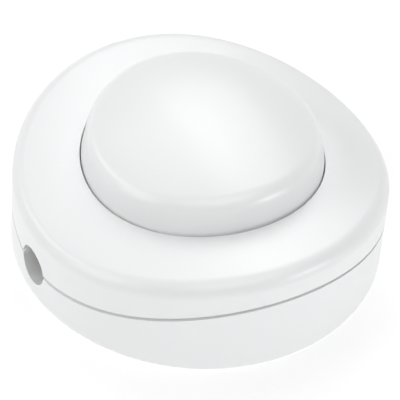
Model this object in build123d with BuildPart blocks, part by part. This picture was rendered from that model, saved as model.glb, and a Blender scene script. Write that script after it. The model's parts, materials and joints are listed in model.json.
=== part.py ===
from build123d import *
import os
from math import cos, radians, sin, sqrt

# Round in-line foot switch for a lamp cord. Millimetres, +Z up, X along the cord.
# The origin lies on the floor under the middle of the base.

# Push button
button_radius = 23.1
button_top_height = 32.5
button_arch_radius = 46.0      # curve of the crown along the cord
button_crown_radius = 77.0     # curve of the crown across the cord
button_edge_radius = 3.5
button_taper = 9.5             # lean of the visible wall, degrees
button_taper_start = 21.5
button_wall = 2.0
button_inner_taper = 14.0
button_boss_radius = 5.2
button_rib = 1.4
button_gap = 0.2               # open line between the button and the cover
stroke = 3.5
flange_overlap = 1.85          # reach of the button's flange under the cover
flange_thickness = 1.5
flange_clearance = 1.35

# Shell
wall = 2.4
floor = 2.2
top_wall = 2.2
post_count = 4
post_azimuth = 45.0
post_diameter = 7.4
post_bite = 0.3                # overlap of a round post with the wall behind it
post_top = 10.0
parting_height = 15.75         # joint edge of the base at mid length
parting_end_drop = 8.45        # fall of the joint line to the cord ends
cover_rise = 7.55              # cover top above the joint edge
cover_arch_radius = 105.0      # curve of the cover along the cord
cover_crown_radius = 1800.0    # curve of the cover across the cord
rim_radius = 3.0
base_edge_radius = 1.0
parting_gap = 0.7
lip_thickness = 1.1
lip_height = 1.9
lip_clearance = 0.25
collar_thickness = 1.9
collar_bottom = 16.5
hole_edge_radius = 0.2
cord_hole_radius = 4.0
sleeve_length = 1.5            # cord hole carried on inside the base's wall
sleeve_wall = 1.2

# Cover screws, driven from below
cover_screw_radius = 1.45
cover_screw_length = 12.4
cover_head_radius = 2.7
cover_head_height = 2.0
cover_head_seat = 3.4
head_clearance = 0.35
hole_clearance = 0.25
pilot_clearance = 0.05

# Cord clamps
clamp_width = 4.6
clamp_length = 20.0
clamp_thickness = 2.4
clamp_wall_gap = 2.1
clamp_bar_rise = 1.25          # underside of a clamp bar above the cord's axis
clamp_post_radius = 2.7
clamp_end_length = 2.6         # from a clamp screw to the bar's end
clamp_arch_radius = 4.2
clamp_arch_thickness = 2.0
saddle_length = 3.0
saddle_width = 8.0
saddle_bite = 0.25             # rise of a saddle into the clamp arch's round
clamp_screw_radius = 1.2
clamp_screw_length = 7.6
clamp_head_radius = 2.2
clamp_head_height = 1.6

# Carrier with the guide tower
plate_thickness = 1.6
tower_wall = 1.6
guide_height = 2.7             # tower above the ratchet teeth
shoulder_width = 4.8
shoulder_height = 2.0
arm_width = 13.0
arm_margin = 0.5
ear_radius = 3.1
ear_seat = 4.6
ear_thickness = 1.8
ear_gap = 0.5
ear_post_gap = 0.8
ear_count = 2
ear_azimuth = 135.0
carrier_screw_radius = 1.1
carrier_screw_length = 4.6
carrier_head_radius = 2.1
carrier_head_height = 1.6
nest_wall = 1.2
nest_height = 2.6
nest_gap = 0.1

# Contacts
strip_thickness = 0.8
strip_width = 4.2
strip_lead = 0.2               # strip before the rivet
strip_slot_gap = 0.15
rivet_radius = 1.6
rivet_height = 0.55
contact_gap = 0.1
bridge_thickness = 0.5
bridge_tower_gap = 1.4
bridge_arm_width = 3.6

# Ratchet rotor
pin_radius = 1.5
pin_running_gap = 0.05
pin_foot = 0.6                 # blind depth left under the pin in the carrier
pivot_boss_radius = 3.4
pivot_boss_height = 0.7
hub_side = 6.0
hub_corner = 0.6
hub_radius = 4.0
hub_above_teeth = 0.4
washer_height = 2.45
washer_tip_gap = 2.6           # from the washer's edge to the tip of a contact arm
washer_inner_radius = 4.5
washer_thickness = 0.4
disc_tower_gap = 1.6           # at a flat of the disc
disc_thickness = 2.0
tooth_count = 8
tooth_inner_radius = 6.5
tooth_ledge = 1.0
rotor_turn = 31.0              # degrees turned by one full press
retainer_radius = 3.3
retainer_thickness = 0.6
retainer_gap = 0.1
pin_above_retainer = 0.7

# Detent leaf
leaf_thickness = 0.4
leaf_height = 1.5
leaf_length = 18.4
leaf_gap = 0.1
leaf_rise = 0.2

# Plunger and return spring
plunger_spring_margin = 1.5
plunger_disc_thickness = 2.0
plunger_bottoming = 0.5
spigot_side = 5.0
spigot_length = 3.4
spigot_gap = 0.05
tube_outer_radius = 6.2
tube_inner_radius = 4.7
tube_length = 5.0
blade_count = 4
blade_thickness = 1.3
blade_azimuth = 45.0
blade_slot_gap = 0.3
blade_key = 0.9                # reach of a blade into its slot in the tower
blade_tooth_gap = 0.3
spring_wire_radius = 0.6
spring_wire_sides = 6
spring_turns = 4.0
spring_tower_gap = 1.5

# Terminals
line_block_length = 5.6
line_block_width = 5.6
line_block_height = 5.0
through_block_length = 16.0
through_block_width = 5.6
through_block_height = 5.6
through_end_length = 3.0
wire_hole_radius = 1.3
wire_hole_height = 2.5
terminal_screw_radius = 1.5
terminal_screw_length = 3.2
terminal_screw_proud = 0.7
slot_width = 0.7
slot_depth = 0.7
head_edge_radius = 0.3

# Sizes worked out from the ones above
hole_radius = button_radius + button_gap
flange_radius = hole_radius + flange_overlap
post_pitch = flange_radius + flange_clearance + post_diameter / 2
inner_radius = post_pitch + post_diameter / 2 - post_bite
body_radius = inner_radius + wall
boss_radius = post_diameter / 2 - post_bite - lip_clearance
parting_radius = (body_radius**2 + parting_end_drop**2) / (2 * parting_end_drop)
arch_axis_height = parting_height - parting_radius
cover_top_height = parting_height + cover_rise
cord_axis_height = parting_height - parting_end_drop + parting_gap / 2
flange_bottom = collar_bottom - flange_thickness
button_inner_radius = button_radius - button_wall
far = 4 * body_radius
tall = 2 * button_top_height

plate_top = floor + plate_thickness
strip_top = plate_top + strip_thickness
bridge_bottom = strip_top + rivet_height + contact_gap
bridge_top = bridge_bottom + bridge_thickness
disc_bottom = bridge_top + washer_height
disc_top = disc_bottom + disc_thickness
tooth_step = 360 / tooth_count
tooth_rise = stroke * tooth_step / rotor_turn
tooth_peak = disc_top + tooth_rise
hub_bottom = plate_top + pivot_boss_height + contact_gap
hub_top = tooth_peak + hub_above_teeth
retainer_bottom = hub_top + retainer_gap
pin_top = retainer_bottom + retainer_thickness + pin_above_retainer
tower_top = tooth_peak + guide_height
ear_pitch = flange_radius + flange_clearance - ear_post_gap - ear_radius
shoulder_radius = ear_pitch - ear_radius - ear_gap
tower_radius = shoulder_radius - shoulder_width
tower_inner_radius = tower_radius - tower_wall
disc_flat_radius = tower_inner_radius - disc_tower_gap
tooth_outer_radius = disc_flat_radius - tooth_ledge
bridge_reach = tower_inner_radius - bridge_tower_gap
rivet_position = bridge_reach - rivet_radius
washer_outer_radius = bridge_reach - washer_tip_gap
strip_start = rivet_position - rivet_radius - strip_lead
spring_seat = plate_top + shoulder_height
plunger_disc_bottom = tower_top + stroke + plunger_bottoming
plunger_disc_top = plunger_disc_bottom + plunger_disc_thickness
spring_radius = tower_radius + spring_tower_gap + spring_wire_radius
plunger_disc_radius = spring_radius + spring_wire_radius + plunger_spring_margin
tooth_mean_radius = (tooth_inner_radius + tooth_outer_radius) / 2
blade_outer_radius = tower_inner_radius + blade_key
clamp_position = inner_radius - clamp_wall_gap - clamp_width / 2
clamp_post_top = cord_axis_height + clamp_bar_rise
clamp_bar_top = clamp_post_top + clamp_thickness
clamp_screw_spacing = clamp_length - 2 * clamp_end_length
saddle_height = cord_axis_height - clamp_arch_radius + saddle_bite - floor
line_block_start = shoulder_radius + ear_gap
line_block_center = line_block_start + line_block_length / 2
through_block_center = shoulder_radius + ear_gap + through_block_width / 2
through_screw_spacing = through_block_length - 2 * through_end_length
arm_reach = line_block_start + line_block_length + arm_margin
side_arm_reach = through_block_center + through_block_width / 2 + arm_margin
side_arm_width = through_block_length + 2 * (nest_gap + nest_wall + arm_margin)
line_block_top = strip_top + line_block_height
through_block_top = plate_top + through_block_height
tooth_margin = (tooth_step - rotor_turn) / 2
blade_tip = tooth_peak - tooth_margin * tooth_rise / tooth_step + blade_tooth_gap
blade_slant = blade_thickness / 2 * tooth_rise / (tooth_mean_radius * radians(tooth_step))
blade_slot_floor = blade_tip - blade_slant - stroke - plunger_bottoming
leaf_position = disc_flat_radius + leaf_gap + leaf_thickness / 2
leaf_bottom = disc_bottom + leaf_rise


def barrel(crest_height, arch_radius, crown_radius):
    """Solid below a doubly curved top: an arch along X with a slight crown across Y."""
    half = body_radius + wall
    drop = crown_radius - sqrt(crown_radius**2 - half**2)
    axis_height = crest_height - arch_radius
    with BuildPart() as solid:
        with BuildSketch(Plane.YZ):
            with BuildLine():
                ThreePointArc((-half, crest_height - drop), (0, crest_height), (half, crest_height - drop))
                Polyline(
                    (half, crest_height - drop),
                    (half, axis_height),
                    (-half, axis_height),
                    (-half, crest_height - drop),
                )
            make_face()
        revolve(axis=Axis((0, 0, axis_height), (0, 1, 0)))
    return solid.part


def below_arch(radius):
    """Solid below an arch along X that is straight across Y, on the shell's arch axis."""
    with BuildPart() as solid:
        with BuildSketch(Plane.XZ):
            with Locations((0, arch_axis_height)):
                Circle(radius)
        extrude(amount=far / 2, both=True)
    return solid.part


def screw(head_radius, head_height, shank_radius, length, recess_length, recess_arms):
    """Screw with its head's underside on z = 0: one recess arm makes a slot and two a cross."""
    with BuildPart() as solid:
        with BuildSketch():
            Circle(head_radius)
        extrude(amount=head_height)
        fillet(solid.faces().sort_by(Axis.Z)[-1].edges(), radius=head_edge_radius)
        with BuildSketch():
            Circle(shank_radius)
        extrude(amount=-length)
        with BuildSketch(Plane.XY.offset(head_height)):
            with PolarLocations(0, recess_arms, angular_range=180):
                Rectangle(recess_length, slot_width)
        extrude(amount=-slot_depth, mode=Mode.SUBTRACT)
    return solid.part


# Outside of the closed shell, with its rounded rim and base edge
with BuildPart() as shell_form:
    with BuildSketch():
        Circle(body_radius)
    extrude(amount=tall)
    add(barrel(cover_top_height, cover_arch_radius, cover_crown_radius), mode=Mode.INTERSECT)
    fillet(shell_form.faces().sort_by(Axis.Z)[-1].edges(), radius=rim_radius)
    fillet(shell_form.faces().sort_by(Axis.Z)[0].edges(), radius=base_edge_radius)

# Cord holes at both ends of the joint line
with BuildPart() as cord_holes:
    with BuildSketch(Plane.YZ):
        with Locations((0, cord_axis_height)):
            Circle(cord_hole_radius)
    extrude(amount=far / 2, both=True)
    with BuildSketch():
        Circle(inner_radius - clamp_wall_gap)
    extrude(amount=tall, mode=Mode.SUBTRACT)

# Space inside the base, round its posts, clamp posts, saddles and carrier bosses
with BuildPart() as base_hollow:
    with BuildSketch(Plane.XY.offset(floor)):
        Circle(inner_radius)
    extrude(amount=tall)
    with BuildSketch(Plane.XY.offset(floor)):
        with PolarLocations(post_pitch, post_count, start_angle=post_azimuth):
            Circle(post_diameter / 2)
    extrude(amount=post_top - floor, mode=Mode.SUBTRACT)
    with BuildSketch(Plane.XY.offset(floor)):
        with GridLocations(2 * clamp_position, clamp_screw_spacing, 2, 2):
            Circle(clamp_post_radius)
    extrude(amount=clamp_post_top - floor, mode=Mode.SUBTRACT)
    with BuildSketch(Plane.XY.offset(floor)):
        with GridLocations(2 * clamp_position, 0, 2, 1):
            Rectangle(saddle_length, saddle_width)
    extrude(amount=saddle_height, mode=Mode.SUBTRACT)
    with BuildSketch(Plane.XY.offset(floor)):
        with PolarLocations(ear_pitch, ear_count, start_angle=ear_azimuth):
            Circle(ear_radius)
    extrude(amount=ear_seat - floor, mode=Mode.SUBTRACT)

# Blocks behind the base's wall that make the cord holes longer
with BuildPart() as cord_sleeves:
    with BuildSketch(Plane.XY.offset(floor)):
        Rectangle(2 * inner_radius, 2 * (cord_hole_radius + sleeve_wall))
        Circle(inner_radius - sleeve_length, mode=Mode.SUBTRACT)
    extrude(amount=parting_height - floor)
    add(below_arch(parting_radius), mode=Mode.INTERSECT)

# Lip inside the base's joint edge
with BuildPart() as base_lip:
    with BuildSketch(Plane.XY.offset(floor)):
        Circle(inner_radius + lip_thickness)
        Circle(inner_radius, mode=Mode.SUBTRACT)
    extrude(amount=tall)
    add(below_arch(parting_radius + lip_height), mode=Mode.INTERSECT)

# Base: the lower shell with its lip, posts, saddles, cord sleeves and screw holes
with BuildPart() as base_shell:
    add(shell_form.part)
    add(below_arch(parting_radius), mode=Mode.INTERSECT)
    add(base_lip.part)
    add(base_hollow.part, mode=Mode.SUBTRACT)
    add(cord_sleeves.part)
    add(cord_holes.part, mode=Mode.SUBTRACT)
    with BuildSketch():
        with PolarLocations(post_pitch, post_count, start_angle=post_azimuth):
            Circle(cover_screw_radius + hole_clearance)
    extrude(amount=post_top, mode=Mode.SUBTRACT)
    with BuildSketch():
        with PolarLocations(post_pitch, post_count, start_angle=post_azimuth):
            Circle(cover_head_radius + head_clearance)
    extrude(amount=cover_head_seat, mode=Mode.SUBTRACT)
    with BuildSketch(Plane.XY.offset(clamp_post_top)):
        with GridLocations(2 * clamp_position, clamp_screw_spacing, 2, 2):
            Circle(clamp_screw_radius + pilot_clearance)
    extrude(amount=clamp_thickness - clamp_screw_length, mode=Mode.SUBTRACT)
    with BuildSketch(Plane.XY.offset(ear_seat)):
        with PolarLocations(ear_pitch, ear_count, start_angle=ear_azimuth):
            Circle(carrier_screw_radius + pilot_clearance)
    extrude(amount=ear_thickness - carrier_screw_length, mode=Mode.SUBTRACT)

# Space inside the cover, round the button collar and the screw bosses
with BuildPart() as cover_hollow:
    with BuildSketch():
        Circle(inner_radius)
    extrude(amount=tall)
    add(
        barrel(cover_top_height - top_wall, cover_arch_radius - top_wall, cover_crown_radius - top_wall),
        mode=Mode.INTERSECT,
    )
    with BuildSketch(Plane.XY.offset(collar_bottom)):
        Circle(hole_radius + collar_thickness)
    extrude(amount=tall, mode=Mode.SUBTRACT)
    with BuildSketch(Plane.XY.offset(post_top)):
        with PolarLocations(post_pitch, post_count, start_angle=post_azimuth):
            Circle(boss_radius)
    extrude(amount=tall, mode=Mode.SUBTRACT)

# What the cover's wall leaves to the base: all below the joint, and a step for the lip
with BuildPart() as below_joint:
    with BuildSketch():
        Circle(body_radius + wall)
        Circle(inner_radius - lip_clearance, mode=Mode.SUBTRACT)
    extrude(amount=tall)
    add(below_arch(parting_radius + parting_gap), mode=Mode.INTERSECT)

with BuildPart() as lip_step:
    with BuildSketch():
        Circle(inner_radius + lip_thickness + lip_clearance)
        Circle(inner_radius - lip_clearance, mode=Mode.SUBTRACT)
    extrude(amount=tall)
    add(below_arch(parting_radius + lip_height + lip_clearance), mode=Mode.INTERSECT)

# Cover: the upper shell, stepped inside to go over the base's lip
with BuildPart() as top_cover:
    add(shell_form.part)
    add(cover_hollow.part, mode=Mode.SUBTRACT)
    add(below_joint.part, mode=Mode.SUBTRACT)
    add(lip_step.part, mode=Mode.SUBTRACT)
    add(cord_holes.part, mode=Mode.SUBTRACT)
    with BuildSketch():
        Circle(hole_radius)
    extrude(amount=tall, mode=Mode.SUBTRACT)
    fillet(top_cover.faces().sort_by(Axis.Z)[-1].inner_wires().edges(), radius=hole_edge_radius)
    with BuildSketch(Plane.XY.offset(post_top)):
        with PolarLocations(post_pitch, post_count, start_angle=post_azimuth):
            Circle(cover_screw_radius + pilot_clearance)
    extrude(amount=cover_head_seat + cover_screw_length - post_top + hole_clearance, mode=Mode.SUBTRACT)

# Hollow of the push button, round its boss and ribs
with BuildPart() as button_hollow:
    with BuildSketch():
        Circle(button_inner_radius)
    extrude(amount=button_taper_start)
    with BuildSketch(Plane.XY.offset(button_taper_start)):
        Circle(button_inner_radius)
    extrude(amount=button_top_height - button_taper_start, taper=button_inner_taper)
    add(
        barrel(
            button_top_height - button_wall,
            button_arch_radius - button_wall,
            button_crown_radius - button_wall,
        ),
        mode=Mode.INTERSECT,
    )
    with BuildSketch(Plane.XY.offset(plunger_disc_top)):
        Circle(button_boss_radius)
        Rectangle(far, button_rib)
        Rectangle(button_rib, far)
    extrude(amount=tall, mode=Mode.SUBTRACT)

# Push button: crowned top, leaning wall, skirt and retaining flange
with BuildPart() as push_button:
    with BuildSketch(Plane.XY.offset(flange_bottom)):
        Circle(button_radius)
    extrude(amount=button_taper_start - flange_bottom)
    with BuildSketch(Plane.XY.offset(button_taper_start)):
        Circle(button_radius)
    extrude(amount=button_top_height - button_taper_start, taper=button_taper)
    add(barrel(button_top_height, button_arch_radius, button_crown_radius), mode=Mode.INTERSECT)
    fillet(push_button.faces().sort_by(Axis.Z)[-1].edges(), radius=button_edge_radius)
    with BuildSketch(Plane.XY.offset(flange_bottom)):
        Circle(flange_radius)
    extrude(amount=flange_thickness)
    add(button_hollow.part, mode=Mode.SUBTRACT)
    with BuildSketch(Plane.XY.offset(plunger_disc_top)):
        Rectangle(spigot_side + 2 * spigot_gap, spigot_side + 2 * spigot_gap)
    extrude(amount=spigot_length + hole_clearance, mode=Mode.SUBTRACT)

# Plunger: a disc under the button with a square spigot and four guided push blades
with BuildPart() as drive_plunger:
    with BuildSketch(Plane.XY.offset(plunger_disc_bottom)):
        Circle(plunger_disc_radius)
    extrude(amount=plunger_disc_thickness)
    with BuildSketch(Plane.XY.offset(plunger_disc_top)):
        Rectangle(spigot_side, spigot_side)
    extrude(amount=spigot_length)
    with BuildSketch(Plane.XY.offset(plunger_disc_bottom)):
        Circle(tube_outer_radius)
        Circle(tube_inner_radius, mode=Mode.SUBTRACT)
    extrude(amount=-tube_length)
    for blade in range(blade_count):
        azimuth = radians(blade_azimuth + blade * 360 / blade_count)
        outward = Vector(cos(azimuth), sin(azimuth), 0)
        around = Vector(-sin(azimuth), cos(azimuth), 0)
        blade_root = Plane(origin=outward * tube_inner_radius, x_dir=around, z_dir=outward)
        with BuildSketch(blade_root):
            with BuildLine():
                Polyline(
                    (-blade_thickness / 2, blade_tip - blade_slant),
                    (blade_thickness / 2, blade_tip + blade_slant),
                    (blade_thickness / 2, plunger_disc_bottom),
                    (-blade_thickness / 2, plunger_disc_bottom),
                    close=True,
                )
            make_face()
        extrude(amount=blade_outer_radius - tube_inner_radius)
    with BuildSketch():
        Circle(tube_inner_radius)
    extrude(amount=plunger_disc_bottom, mode=Mode.SUBTRACT)

# Ratchet rotor: eight helical teeth on an eight-sided disc with a square hub below
with BuildPart() as ratchet_tooth:
    with BuildLine() as tooth_path:
        Helix(pitch=tooth_rise * tooth_count, height=tooth_rise, radius=tooth_mean_radius)
    with BuildSketch(Plane.XZ):
        with Locations((tooth_mean_radius, -tooth_rise / 2)):
            Rectangle(tooth_outer_radius - tooth_inner_radius, tooth_rise + disc_thickness)
    sweep(path=tooth_path.line, is_frenet=True)
    with BuildSketch(Plane.XY.offset(-disc_thickness / 2)):
        Circle(far)
    extrude(amount=-tall, mode=Mode.SUBTRACT)

first_valley = blade_azimuth + tooth_margin - tooth_step
with BuildPart() as ratchet_rotor:
    with BuildSketch(Plane.XY.offset(disc_bottom)):
        RegularPolygon(disc_flat_radius, tooth_count, major_radius=False, rotation=tooth_step / 2)
    extrude(amount=disc_thickness)
    with Locations((0, 0, disc_top - disc_thickness / 2)):
        with PolarLocations(0, tooth_count, start_angle=first_valley):
            add(ratchet_tooth.part)
    with BuildSketch(Plane.XY.offset(disc_top)):
        Circle(hub_radius)
    extrude(amount=hub_top - disc_top)
    with BuildSketch(Plane.XY.offset(hub_bottom)):
        RectangleRounded(hub_side, hub_side, hub_corner)
    extrude(amount=disc_bottom - hub_bottom)
    with BuildSketch(Plane.XY.offset(hub_bottom)):
        Circle(pin_radius + pin_running_gap)
    extrude(amount=tall, mode=Mode.SUBTRACT)

# Rotor parts: steel pin, push-on retainer, contact cross and the dished washer above it
with BuildPart() as pivot_pin:
    with BuildSketch(Plane.XY.offset(floor + pin_foot)):
        Circle(pin_radius)
    extrude(amount=pin_top - floor - pin_foot)

with BuildPart() as rotor_retainer:
    with BuildSketch(Plane.XY.offset(retainer_bottom)):
        Circle(retainer_radius)
        Circle(pin_radius, mode=Mode.SUBTRACT)
    extrude(amount=retainer_thickness)

with BuildPart() as contact_cross:
    with BuildSketch(Plane.XY.offset(bridge_bottom)):
        SlotOverall(2 * bridge_reach, bridge_arm_width, rotation=blade_azimuth)
        SlotOverall(2 * bridge_reach, bridge_arm_width, rotation=blade_azimuth + 90)
        Circle(hub_side)
        RectangleRounded(
            hub_side + 2 * spigot_gap, hub_side + 2 * spigot_gap, hub_corner, mode=Mode.SUBTRACT
        )
    extrude(amount=bridge_thickness)

with BuildPart() as contact_washer:
    with BuildSketch(Plane.XZ):
        with BuildLine():
            Polyline(
                (washer_outer_radius, bridge_top),
                (washer_outer_radius, bridge_top + washer_thickness),
                (washer_inner_radius, disc_bottom),
                (washer_inner_radius, disc_bottom - washer_thickness),
                close=True,
            )
        make_face()
    revolve(axis=Axis.Z)

# Detent leaf lying against a flat of the rotor disc
with BuildPart() as detent_leaf:
    with BuildSketch(Plane.XY.offset(leaf_bottom)):
        with Locations((0, leaf_position)):
            Rectangle(leaf_length, leaf_thickness)
    extrude(amount=leaf_height)

# Carrier: plate, spring shoulder, slotted guide tower, fixing ears and terminal nests
with BuildPart() as mechanism_carrier:
    with BuildSketch(Plane.XY.offset(floor)):
        Circle(shoulder_radius)
        Rectangle(2 * arm_reach, arm_width)
        Rectangle(side_arm_width, 2 * side_arm_reach)
    extrude(amount=plate_thickness)
    with BuildSketch(Plane.XY.offset(plate_top)):
        Circle(shoulder_radius)
        Circle(tower_inner_radius, mode=Mode.SUBTRACT)
    extrude(amount=shoulder_height)
    with BuildSketch(Plane.XY.offset(plate_top)):
        Circle(tower_radius)
        Circle(tower_inner_radius, mode=Mode.SUBTRACT)
    extrude(amount=tower_top - plate_top)
    with BuildSketch(Plane.XY.offset(plate_top)):
        Circle(pivot_boss_radius)
    extrude(amount=pivot_boss_height)
    with BuildSketch(Plane.XY.offset(ear_seat)):
        with PolarLocations(ear_pitch, ear_count, start_angle=ear_azimuth):
            Circle(ear_radius)
        with PolarLocations(ear_pitch - ear_radius, ear_count, start_angle=ear_azimuth):
            Rectangle(2 * ear_radius, 2 * ear_radius)
        Circle(spring_radius + spring_tower_gap, mode=Mode.SUBTRACT)
    extrude(amount=ear_thickness)
    with BuildSketch(Plane.XY.offset(plate_top)):
        with GridLocations(2 * line_block_center, line_block_width + 2 * nest_gap + nest_wall, 2, 2):
            Rectangle(line_block_length, nest_wall)
        with GridLocations(
            through_block_length + 2 * nest_gap + nest_wall, 2 * through_block_center, 2, 2
        ):
            Rectangle(nest_wall, through_block_width)
    extrude(amount=nest_height)
    with BuildSketch(Plane.XY.offset(plate_top)):
        with GridLocations(tower_radius + shoulder_radius, 0, 2, 1):
            Rectangle(2 * shoulder_width, strip_width + 2 * strip_slot_gap)
    extrude(amount=strip_thickness + strip_slot_gap, mode=Mode.SUBTRACT)
    with BuildSketch(Plane.XY.offset(blade_slot_floor)):
        with PolarLocations(tower_radius, blade_count, start_angle=blade_azimuth):
            Rectangle(4 * tower_wall, blade_thickness + 2 * blade_slot_gap)
    extrude(amount=tall, mode=Mode.SUBTRACT)
    with BuildSketch(Plane.XY.offset(leaf_bottom)):
        with Locations((0, leaf_position)):
            Rectangle(leaf_length + 2 * leaf_gap, leaf_thickness + 2 * leaf_gap)
    extrude(amount=tall, mode=Mode.SUBTRACT)
    with BuildSketch(Plane.XY.offset(floor + pin_foot)):
        Circle(pin_radius)
    extrude(amount=plate_thickness + pivot_boss_height, mode=Mode.SUBTRACT)
    with BuildSketch(Plane.XY.offset(ear_seat)):
        with PolarLocations(ear_pitch, ear_count, start_angle=ear_azimuth):
            Circle(carrier_screw_radius + hole_clearance)
    extrude(amount=ear_thickness, mode=Mode.SUBTRACT)

# Fixed contact strips with their rivets
strip_end = line_block_start + line_block_length
with BuildPart() as contact_strip_out:
    with BuildSketch(Plane.XY.offset(plate_top)):
        with Locations(((strip_start + strip_end) / 2, 0)):
            Rectangle(strip_end - strip_start, strip_width)
    extrude(amount=strip_thickness)

with BuildPart() as contact_strip_in:
    add(mirror(contact_strip_out.part, about=Plane.YZ))

with BuildPart() as contact_rivets:
    with BuildSketch(Plane.XY.offset(strip_top)):
        with GridLocations(2 * rivet_position, 0, 2, 1):
            Circle(rivet_radius)
    extrude(amount=rivet_height)

# Terminal blocks: one on each strip, and a through block on each side
with BuildPart() as line_out_terminal:
    with BuildSketch(Plane.XY.offset(strip_top)):
        with Locations((line_block_center, 0)):
            Rectangle(line_block_length, line_block_width)
    extrude(amount=line_block_height)
    with BuildSketch(Plane.YZ):
        with Locations((0, strip_top + wire_hole_height)):
            Circle(wire_hole_radius)
    extrude(amount=far, mode=Mode.SUBTRACT)
    with BuildSketch(Plane.XY.offset(line_block_top)):
        with Locations((line_block_center, 0)):
            Circle(terminal_screw_radius + pilot_clearance)
    extrude(amount=wire_hole_height - line_block_height, mode=Mode.SUBTRACT)

with BuildPart() as line_in_terminal:
    add(mirror(line_out_terminal.part, about=Plane.YZ))

with BuildPart() as earth_terminal:
    with BuildSketch(Plane.XY.offset(plate_top)):
        with Locations((0, through_block_center)):
            Rectangle(through_block_length, through_block_width)
    extrude(amount=through_block_height)
    with BuildSketch(Plane.YZ):
        with Locations((through_block_center, plate_top + wire_hole_height)):
            Circle(wire_hole_radius)
    extrude(amount=far / 2, both=True, mode=Mode.SUBTRACT)
    with BuildSketch(Plane.XY.offset(through_block_top)):
        with Locations((0, through_block_center)):
            with GridLocations(through_screw_spacing, 0, 2, 1):
                Circle(terminal_screw_radius + pilot_clearance)
    extrude(amount=wire_hole_height - through_block_height, mode=Mode.SUBTRACT)

with BuildPart() as neutral_terminal:
    add(mirror(earth_terminal.part, about=Plane.XZ))

terminal_screw = screw(
    terminal_screw_radius,
    terminal_screw_proud,
    terminal_screw_radius,
    terminal_screw_length - terminal_screw_proud,
    recess_length=2 * terminal_screw_radius,
    recess_arms=1,
)
with BuildPart() as terminal_screws:
    with Locations((0, 0, line_block_top)):
        with GridLocations(2 * line_block_center, 0, 2, 1):
            add(terminal_screw)
    with Locations((0, 0, through_block_top)):
        with GridLocations(through_screw_spacing, 2 * through_block_center, 2, 2):
            add(terminal_screw)

# Cord clamps: an arched bar on two posts at each cord hole
with BuildPart() as cord_clamp_outlet:
    with BuildSketch(Plane.YZ.offset(clamp_position)):
        with Locations((0, clamp_post_top + clamp_thickness / 2)):
            Rectangle(clamp_length, clamp_thickness)
        with Locations((0, cord_axis_height)):
            Circle(clamp_arch_radius + clamp_arch_thickness)
            Circle(clamp_arch_radius, mode=Mode.SUBTRACT)
        with Locations((0, clamp_post_top - clamp_length / 2)):
            Rectangle(clamp_length, clamp_length, mode=Mode.SUBTRACT)
    extrude(amount=clamp_width / 2, both=True)
    with BuildSketch(Plane.XY.offset(clamp_post_top)):
        with Locations((clamp_position, 0)):
            with GridLocations(0, clamp_screw_spacing, 1, 2):
                Circle(clamp_screw_radius + hole_clearance)
    extrude(amount=clamp_thickness, mode=Mode.SUBTRACT)

with BuildPart() as cord_clamp_inlet:
    add(mirror(cord_clamp_outlet.part, about=Plane.YZ))

# Screws
clamp_screw = screw(
    clamp_head_radius,
    clamp_head_height,
    clamp_screw_radius,
    clamp_screw_length,
    recess_length=2 * clamp_screw_radius,
    recess_arms=2,
)
with BuildPart() as clamp_screws:
    with Locations((0, 0, clamp_bar_top)):
        with GridLocations(2 * clamp_position, clamp_screw_spacing, 2, 2):
            add(clamp_screw)

carrier_screw = screw(
    carrier_head_radius,
    carrier_head_height,
    carrier_screw_radius,
    carrier_screw_length,
    recess_length=2 * carrier_screw_radius,
    recess_arms=2,
)
with BuildPart() as carrier_screws:
    with Locations((0, 0, ear_seat + ear_thickness)):
        with PolarLocations(ear_pitch, ear_count, start_angle=ear_azimuth):
            add(carrier_screw)

cover_screw = screw(
    cover_head_radius,
    cover_head_height,
    cover_screw_radius,
    cover_screw_length,
    recess_length=2 * cover_screw_radius,
    recess_arms=2,
)
with BuildPart() as cover_screws:
    with Locations((0, 0, cover_head_seat)):
        with PolarLocations(post_pitch, post_count, start_angle=post_azimuth):
            add(cover_screw, rotation=(180, 0, 0))

# Return spring with ends ground flat on the shoulder and under the plunger's disc
spring_length = plunger_disc_bottom - spring_seat
with BuildPart() as return_spring:
    with BuildLine() as spring_path:
        Helix(
            pitch=spring_length / spring_turns,
            height=spring_length,
            radius=spring_radius,
            center=(0, 0, spring_seat),
        )
    with BuildSketch(Plane(origin=spring_path.line @ 0, z_dir=spring_path.line % 0)):
        RegularPolygon(spring_wire_radius, spring_wire_sides)
    sweep(path=spring_path.line, is_frenet=True)
    with BuildSketch(Plane.XY.offset(spring_seat)):
        Circle(far)
    extrude(amount=spring_length, mode=Mode.INTERSECT)

os.makedirs("parts", exist_ok=True)
base_shell.part.label = "base_shell"
export_step(base_shell.part, "parts/base_shell.step")
top_cover.part.label = "top_cover"
export_step(top_cover.part, "parts/top_cover.step")
push_button.part.label = "push_button"
export_step(push_button.part, "parts/push_button.step")
drive_plunger.part.label = "drive_plunger"
export_step(drive_plunger.part, "parts/drive_plunger.step")
return_spring.part.label = "return_spring"
export_step(return_spring.part, "parts/return_spring.step")
mechanism_carrier.part.label = "mechanism_carrier"
export_step(mechanism_carrier.part, "parts/mechanism_carrier.step")
ratchet_rotor.part.label = "ratchet_rotor"
export_step(ratchet_rotor.part, "parts/ratchet_rotor.step")
contact_cross.part.label = "contact_cross"
export_step(contact_cross.part, "parts/contact_cross.step")
contact_washer.part.label = "contact_washer"
export_step(contact_washer.part, "parts/contact_washer.step")
pivot_pin.part.label = "pivot_pin"
export_step(pivot_pin.part, "parts/pivot_pin.step")
rotor_retainer.part.label = "rotor_retainer"
export_step(rotor_retainer.part, "parts/rotor_retainer.step")
detent_leaf.part.label = "detent_leaf"
export_step(detent_leaf.part, "parts/detent_leaf.step")
contact_strip_in.part.label = "contact_strip_in"
export_step(contact_strip_in.part, "parts/contact_strip_in.step")
contact_strip_out.part.label = "contact_strip_out"
export_step(contact_strip_out.part, "parts/contact_strip_out.step")
contact_rivets.part.label = "contact_rivets"
export_step(contact_rivets.part, "parts/contact_rivets.step")
line_in_terminal.part.label = "line_in_terminal"
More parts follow.
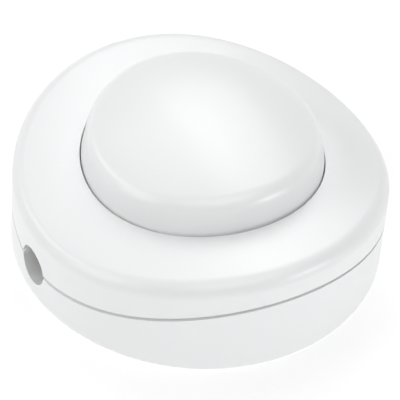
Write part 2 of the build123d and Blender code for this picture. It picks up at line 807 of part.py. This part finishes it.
export_step(line_in_terminal.part, "parts/line_in_terminal.step")
line_out_terminal.part.label = "line_out_terminal"
export_step(line_out_terminal.part, "parts/line_out_terminal.step")
neutral_terminal.part.label = "neutral_terminal"
export_step(neutral_terminal.part, "parts/neutral_terminal.step")
earth_terminal.part.label = "earth_terminal"
export_step(earth_terminal.part, "parts/earth_terminal.step")
terminal_screws.part.label = "terminal_screws"
export_step(terminal_screws.part, "parts/terminal_screws.step")
cord_clamp_inlet.part.label = "cord_clamp_inlet"
export_step(cord_clamp_inlet.part, "parts/cord_clamp_inlet.step")
cord_clamp_outlet.part.label = "cord_clamp_outlet"
export_step(cord_clamp_outlet.part, "parts/cord_clamp_outlet.step")
clamp_screws.part.label = "clamp_screws"
export_step(clamp_screws.part, "parts/clamp_screws.step")
carrier_screws.part.label = "carrier_screws"
export_step(carrier_screws.part, "parts/carrier_screws.step")
cover_screws.part.label = "cover_screws"
export_step(cover_screws.part, "parts/cover_screws.step")
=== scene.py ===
"""Dresses the round foot switch: satin white mouldings outside, brass, steel and ivory inside."""

import json
import math

import bmesh
import bpy
from mathutils import Matrix, Vector


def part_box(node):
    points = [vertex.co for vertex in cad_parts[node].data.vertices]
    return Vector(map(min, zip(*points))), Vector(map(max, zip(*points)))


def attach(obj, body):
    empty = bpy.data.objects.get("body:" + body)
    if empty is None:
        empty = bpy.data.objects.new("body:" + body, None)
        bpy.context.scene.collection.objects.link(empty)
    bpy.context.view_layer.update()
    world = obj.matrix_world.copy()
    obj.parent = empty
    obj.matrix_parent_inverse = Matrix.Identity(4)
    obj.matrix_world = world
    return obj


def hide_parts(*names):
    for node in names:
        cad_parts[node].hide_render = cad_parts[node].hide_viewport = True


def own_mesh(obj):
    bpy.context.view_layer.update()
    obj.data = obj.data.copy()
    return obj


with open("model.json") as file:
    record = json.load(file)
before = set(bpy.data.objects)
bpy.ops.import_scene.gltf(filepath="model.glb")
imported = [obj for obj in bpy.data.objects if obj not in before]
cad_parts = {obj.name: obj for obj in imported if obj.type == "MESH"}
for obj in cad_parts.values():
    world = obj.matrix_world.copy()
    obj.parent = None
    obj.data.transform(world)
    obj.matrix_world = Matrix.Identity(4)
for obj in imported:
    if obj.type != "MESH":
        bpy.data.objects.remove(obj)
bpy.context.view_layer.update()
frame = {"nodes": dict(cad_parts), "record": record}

# Camera, in metres and degrees: where the photographer stood
camera_azimuth = -33.0
camera_elevation = 43.9
camera_roll = 4.8
camera_distance = 0.5
camera_aim = Vector((0.0, 0.0, 0.014))
camera_lower = 0.00336
camera_left = 0.0001
camera_lens = 235.1

# Floor and room: lengths in metres, glows as a share of plain white
floor_size = 6.0
floor_grey = 0.6
floor_roughness = 0.9
floor_glow = 0.72
# Painted shade: to the camera and in reflections the floor glows less near the switch than further out, so
# it is drawn darker round the switch, on top of its real shadow
floor_painted_shade_glow = 0.5
floor_far_glow = 1.0
painted_shade_reach = 0.06
sweep_reach = 0.3
room_light = 0.0
lamp_distance = 0.8

# Surfaces: noise sizes per metre, bump distances in metres
plastic_ior = 1.5
plastic_drift = 70.0
plastic_bump = 0.5
sheen_patches = 90.0
metal_drift = 260.0
metal_bump = 0.3
metal_mark_depth = 0.00001

# Return spring, drawn as a round wire
spring_turns = 6.5
spring_wire = 0.0012
spring_sides = 14
spring_steps_per_turn = 48
spring_flat_turns = 0.75
spring_ease = 0.35


def feed(links, value, target):
    """Gives a socket a number of its own, or links another socket to it."""
    if isinstance(value, (int, float)):
        target.default_value = value
    else:
        links.new(value, target)


def noise(nodes, links, coordinates, scale, detail, roughness=0.55):
    """A noise texture over the given coordinates."""
    texture = nodes.new("ShaderNodeTexNoise")
    texture.inputs["Detail"].default_value = detail
    texture.inputs["Roughness"].default_value = roughness
    feed(links, scale, texture.inputs["Scale"])
    links.new(coordinates, texture.inputs["Vector"])
    return texture.outputs["Fac"]


def spread(nodes, links, value, low, high):
    """Maps a 0 to 1 value onto a range whose ends are sockets or numbers."""
    made = nodes.new("ShaderNodeMapRange")
    links.new(value, made.inputs["Value"])
    feed(links, low, made.inputs["To Min"])
    feed(links, high, made.inputs["To Max"])
    return made.outputs["Result"]


def node_group(name, inputs, outputs):
    """A shader node group with named sockets, and the parts that its maker wires up."""
    group = bpy.data.node_groups.new(name, "ShaderNodeTree")
    for title, kind, value in inputs:
        made = group.interface.new_socket(name=title, in_out="INPUT", socket_type=kind)
        made.default_value = value
    for title, kind in outputs:
        group.interface.new_socket(name=title, in_out="OUTPUT", socket_type=kind)
    nodes, links = group.nodes, group.links
    inlet = nodes.new("NodeGroupInput").outputs
    outlet = nodes.new("NodeGroupOutput").inputs
    place = nodes.new("ShaderNodeTexCoord").outputs["Object"]
    return group, nodes, links, inlet, outlet, place


def moulded_grain_group():
    """Spark-eroded mould grain: a fine height field, and a roughness that wanders in broad patches."""
    group, nodes, links, inlet, outlet, place = node_group(
        "moulded_grain",
        [
            ("Grain Size", "NodeSocketFloat", 2600.0),
            ("Roughness Low", "NodeSocketFloat", 0.36),
            ("Roughness High", "NodeSocketFloat", 0.48),
        ],
        [("Height", "NodeSocketFloat"), ("Roughness", "NodeSocketFloat")],
    )
    links.new(noise(nodes, links, place, inlet["Grain Size"], 3.0, 0.6), outlet["Height"])
    patches = noise(nodes, links, place, sheen_patches, 2.0)
    rough = spread(nodes, links, patches, inlet["Roughness Low"], inlet["Roughness High"])
    links.new(rough, outlet["Roughness"])
    return group


def tone_drift_group():
    """Slight unevenness of a colour: a broad drift between two shades."""
    group, nodes, links, inlet, outlet, place = node_group(
        "tone_drift",
        [
            ("Color", "NodeSocketColor", (0.8, 0.8, 0.8, 1.0)),
            ("Shade", "NodeSocketColor", (0.7, 0.7, 0.7, 1.0)),
            ("Drift Size", "NodeSocketFloat", 60.0),
        ],
        [("Color", "NodeSocketColor")],
    )
    mix = nodes.new("ShaderNodeMix")
    mix.data_type = "RGBA"
    links.new(noise(nodes, links, place, inlet["Drift Size"], 4.0), mix.inputs["Factor"])
    links.new(inlet["Color"], mix.inputs[6])
    links.new(inlet["Shade"], mix.inputs[7])
    links.new(mix.outputs[2], outlet["Color"])
    return group


def drawn_streaks_group():
    """Rolling and drawing marks on metal: long fine streaks along one axis."""
    group, nodes, links, inlet, outlet, place = node_group(
        "drawn_streaks",
        [
            ("Stretch", "NodeSocketVector", (300.0, 4000.0, 4000.0)),
            ("Roughness Low", "NodeSocketFloat", 0.2),
            ("Roughness High", "NodeSocketFloat", 0.4),
        ],
        [("Height", "NodeSocketFloat"), ("Roughness", "NodeSocketFloat")],
    )
    stretched = nodes.new("ShaderNodeVectorMath")
    stretched.operation = "MULTIPLY"
    links.new(place, stretched.inputs[0])
    links.new(inlet["Stretch"], stretched.inputs[1])
    streak = noise(nodes, links, stretched.outputs["Vector"], 1.0, 4.0)
    links.new(streak, outlet["Height"])
    rough = spread(nodes, links, streak, inlet["Roughness Low"], inlet["Roughness High"])
    links.new(rough, outlet["Roughness"])
    return group


moulded_grain = moulded_grain_group()
tone_drift = tone_drift_group()
drawn_streaks = drawn_streaks_group()


def placed(nodes, group, **values):
    """Puts a node group into a material and sets its inputs by name."""
    node = nodes.new("ShaderNodeGroup")
    node.node_tree = group
    for name, value in values.items():
        node.inputs[name.replace("_", " ")].default_value = value
    return node


def dressed(name, tone, marks, strength, depth):
    """A material whose colour drifts between two shades and whose skin has marks; gives its shader too."""
    material = bpy.data.materials.new(name)
    material.use_nodes = True
    nodes, links = material.node_tree.nodes, material.node_tree.links
    surface = nodes["Principled BSDF"]
    color = placed(nodes, tone_drift, **tone)
    skin = placed(nodes, **marks)
    relief = nodes.new("ShaderNodeBump")
    relief.inputs["Strength"].default_value = strength
    relief.inputs["Distance"].default_value = depth
    links.new(color.outputs["Color"], surface.inputs["Base Color"])
    links.new(skin.outputs["Roughness"], surface.inputs["Roughness"])
    links.new(skin.outputs["Height"], relief.inputs["Height"])
    links.new(relief.outputs["Normal"], surface.inputs["Normal"])
    return material, surface


def plastic(name, color, shade, grain_size, grain_depth, roughness, gloss=0.5):
    """A moulded plastic with an even colour, mould grain and a satin skin."""
    low, high = roughness
    tone = {"Color": (*color, 1.0), "Shade": (*shade, 1.0), "Drift_Size": plastic_drift}
    grain = {
        "group": moulded_grain, "Grain_Size": grain_size, "Roughness_Low": low, "Roughness_High": high
    }
    material, surface = dressed(name, tone, grain, plastic_bump, grain_depth)
    surface.inputs["IOR"].default_value = plastic_ior
    surface.inputs["Specular IOR Level"].default_value = gloss
    return material


def metal(name, color, shade, stretch, roughness):
    """A bare or plated metal with drawing marks."""
    low, high = roughness
    tone = {"Color": (*color, 1.0), "Shade": (*shade, 1.0), "Drift_Size": metal_drift}
    streaks = {
        "group": drawn_streaks, "Stretch": stretch, "Roughness_Low": low, "Roughness_High": high
    }
    material, surface = dressed(name, tone, streaks, metal_bump, metal_mark_depth)
    surface.inputs["Metallic"].default_value = 1.0
    return material


finishes = {
    "case_white": plastic(
        "case_white", color=(0.86, 0.865, 0.87), shade=(0.845, 0.85, 0.857),
        grain_size=3200.0, grain_depth=0.00004, roughness=(0.32, 0.39), gloss=0.85,
    ),
    "button_white": plastic(
        "button_white", color=(0.87, 0.875, 0.88), shade=(0.86, 0.865, 0.87),
        grain_size=3600.0, grain_depth=0.00001, roughness=(0.29, 0.35), gloss=0.75,
    ),
    "insert_plastic": plastic(
        "insert_plastic", color=(0.74, 0.70, 0.60), shade=(0.70, 0.66, 0.55),
        grain_size=2400.0, grain_depth=0.00002, roughness=(0.4, 0.5),
    ),
    "slide_plastic": plastic(
        "slide_plastic", color=(0.66, 0.66, 0.63), shade=(0.62, 0.62, 0.59),
        grain_size=2400.0, grain_depth=0.00001, roughness=(0.3, 0.4),
    ),
    "brass": metal(
        "brass", color=(0.72, 0.52, 0.22), shade=(0.66, 0.46, 0.18),
        stretch=(500.0, 5000.0, 5000.0), roughness=(0.29, 0.38),
    ),
    "contact_silver": metal(
        "contact_silver", color=(0.86, 0.85, 0.82), shade=(0.78, 0.77, 0.74),
        stretch=(3000.0, 3000.0, 800.0), roughness=(0.16, 0.26),
    ),
    "steel": metal(
        "steel", color=(0.62, 0.63, 0.65), shade=(0.55, 0.56, 0.58),
        stretch=(3000.0, 3000.0, 600.0), roughness=(0.29, 0.4),
    ),
    "spring_steel": metal(
        "spring_steel", color=(0.5, 0.5, 0.52), shade=(0.44, 0.44, 0.46),
        stretch=(600.0, 600.0, 3000.0), roughness=(0.29, 0.4),
    ),
}

for entry in frame["record"]["subparts"]:
    mesh = frame["nodes"][entry["node"]].data
    mesh.materials.clear()
    mesh.materials.append(finishes[entry["material_slot"]])


def coil_height(share, low, high):
    """Height of the wire's centre at a share of its length, with the end turns lying flat."""
    half = spring_wire / 2
    flat = spring_flat_turns / spring_turns
    rise = min(max((share - flat) / (1 - 2 * flat), 0.0), 1.0)
    rise = rise * rise * (3 - 2 * rise) * spring_ease + rise * (1 - spring_ease)
    lift = half * min(share / flat, 1.0) + half * max((share - 1 + flat) / flat, 0.0)
    return low + half + (high - low - 2 * spring_wire) * rise + lift


def wire_ring(builder, center, outward):
    """One ring of points round the wire."""
    half = spring_wire / 2
    ring = []
    for side in range(spring_sides):
        turn = 2 * math.pi * side / spring_sides
        offset = outward * (half * math.cos(turn)) + Vector((0, 0, half * math.sin(turn)))
        ring.append(builder.verts.new(center + offset))
    return ring


def coil_mesh(low, high, radius):
    """A round-wire spring between two heights."""
    builder = bmesh.new()
    steps = int(spring_turns * spring_steps_per_turn)
    rings = []
    for step in range(steps + 1):
        share = step / steps
        angle = 2 * math.pi * spring_turns * share
        outward = Vector((math.cos(angle), math.sin(angle), 0.0))
        center = outward * radius + Vector((0.0, 0.0, coil_height(share, low, high)))
        rings.append(wire_ring(builder, center, outward))
    for first, second in zip(rings, rings[1:]):
        for side in range(spring_sides):
            after = (side + 1) % spring_sides
            builder.faces.new((first[side], second[side], second[after], first[after]))
    builder.faces.new(rings[0])
    builder.faces.new(list(reversed(rings[-1])))
    bmesh.ops.recalc_face_normals(builder, faces=builder.faces)
    mesh = bpy.data.meshes.new("return_spring_wire")
    builder.to_mesh(mesh)
    builder.free()
    for face in mesh.polygons:
        face.use_smooth = len(face.vertices) == 4
    return mesh


spring_low, spring_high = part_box("return_spring")
spring_radius = spring_high.x - spring_wire / 2
spring = bpy.data.objects.new("return_spring_wire", coil_mesh(spring_low.z, spring_high.z, spring_radius))
bpy.context.scene.collection.objects.link(spring)
spring.data.materials.append(finishes["spring_steel"])
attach(spring, "housing")
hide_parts("return_spring")
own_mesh(spring)


def larger(nodes, links, first, second):
    """The larger of two values."""
    made = nodes.new("ShaderNodeMath")
    made.operation = "MAXIMUM"
    links.new(first, made.inputs[0])
    links.new(second, made.inputs[1])
    return made.outputs["Value"]


def seen_plainly(nodes, links):
    """1 for what the camera sees, straight or in a reflection or through something clear."""
    path = nodes.new("ShaderNodeLightPath").outputs
    mirrored = larger(nodes, links, path["Is Glossy Ray"], path["Is Transmission Ray"])
    return larger(nodes, links, path["Is Camera Ray"], mirrored)


def pale_floor():
    """White sweep under the switch, lit from below as well, so that the shadow on it stays faint; to the
    camera and in reflections it glows less near the switch than further out, a painted shade round the
    switch on top of that shadow.
    """
    material = bpy.data.materials.new("pale_floor")
    material.use_nodes = True
    nodes, links = material.node_tree.nodes, material.node_tree.links
    surface = nodes["Principled BSDF"]
    surface.inputs["Base Color"].default_value = (floor_grey, floor_grey, floor_grey, 1.0)
    surface.inputs["Roughness"].default_value = floor_roughness
    surface.inputs["Specular IOR Level"].default_value = 0.0
    surface.inputs["Emission Color"].default_value = (1.0, 1.0, 1.0, 1.0)
    place = nodes.new("ShaderNodeTexCoord")
    distance = nodes.new("ShaderNodeVectorMath")
    distance.operation = "LENGTH"
    links.new(place.outputs["Object"], distance.inputs[0])
    # Painted shade: distance from the switch sets the floor's glow to the camera, lower near the switch
    # and white further out
    painted_shade_fade = nodes.new("ShaderNodeMapRange")
    painted_shade_fade.inputs["From Min"].default_value = painted_shade_reach
    painted_shade_fade.inputs["From Max"].default_value = sweep_reach
    links.new(distance.outputs["Value"], painted_shade_fade.inputs["Value"])
    seen_glow_with_painted_shade = spread(nodes, links, painted_shade_fade.outputs["Result"], floor_painted_shade_glow, floor_far_glow)
    glow = spread(nodes, links, seen_plainly(nodes, links), floor_glow, seen_glow_with_painted_shade)
    links.new(glow, surface.inputs["Emission Strength"])
    bpy.ops.mesh.primitive_plane_add(size=floor_size, location=(0, 0, 0))
    floor = bpy.context.object
    floor.name = "pale_floor"
    floor.data.materials.append(material)


def white_room():
    """Plain white to the camera and in reflections, with no light of its own."""
    world = bpy.data.worlds.new("white_room")
    world.use_nodes = True
    nodes, links = world.node_tree.nodes, world.node_tree.links
    background = nodes["Background"]
    background.inputs["Color"].default_value = (1.0, 1.0, 1.0, 1.0)
    level = spread(nodes, links, seen_plainly(nodes, links), room_light, 1.0)
    links.new(level, background.inputs["Strength"])
    bpy.context.scene.world = world


def direction(azimuth, elevation):
    """Unit vector from the switch towards a compass angle and height, in degrees."""
    turn, rise = math.radians(azimuth), math.radians(elevation)
    return Vector((math.sin(turn) * math.cos(rise), -math.cos(turn) * math.cos(rise), math.sin(rise)))


def facing(back, lean):
    """Rotation that looks against a direction, leaning by an angle in degrees about it."""
    tilt = Matrix.Rotation(math.radians(lean), 3, "Z").to_quaternion()
    return (-back).to_track_quat("-Z", "Y") @ tilt


def softbox(name, azimuth, elevation, width, height, watts, lean=0.0):
    """A rectangular lamp aimed at the switch."""
    light = bpy.data.lights.new(name, "AREA")
    light.shape = "RECTANGLE"
    light.size = width
    light.size_y = height
    light.energy = watts
    lamp = bpy.data.objects.new(name, light)
    bpy.context.scene.collection.objects.link(lamp)
    back = direction(azimuth, elevation)
    lamp.location = camera_aim + back * lamp_distance
    lamp.rotation_mode = "QUATERNION"
    lamp.rotation_quaternion = facing(back, lean)


def place_camera():
    """The photographer's view: a long lens from above the cord end, tilted a little."""
    data = bpy.data.cameras.new("camera")
    data.lens = camera_lens
    camera = bpy.data.objects.new("camera", data)
    bpy.context.scene.collection.objects.link(camera)
    back = direction(camera_azimuth, camera_elevation)
    turned = facing(back, camera_roll)
    camera.rotation_mode = "QUATERNION"
    camera.rotation_quaternion = turned
    offset = turned @ Vector((-camera_left, -camera_lower, 0.0))
    camera.location = camera_aim + back * camera_distance + offset
    bpy.context.scene.camera = camera
    bpy.context.scene.view_settings.view_transform = "Standard"


pale_floor()
white_room()
softbox("back_softbox", azimuth=135.0, elevation=51.0, width=0.46, height=0.8, watts=2.25, lean=37.0)
softbox("high_back_softbox", azimuth=172.0, elevation=60.0, width=0.6, height=0.5, watts=1.54)
softbox("front_softbox", azimuth=-12.0, elevation=58.0, width=0.8, height=0.6, watts=2.55)
softbox("left_softbox", azimuth=-95.0, elevation=24.0, width=0.36, height=0.3, watts=1.1)
softbox("far_left_softbox", azimuth=235.0, elevation=38.0, width=0.7, height=0.12, watts=1.27, lean=31.0)
softbox("right_softbox", azimuth=30.0, elevation=9.0, width=0.3, height=0.18, watts=1.34)
place_camera()
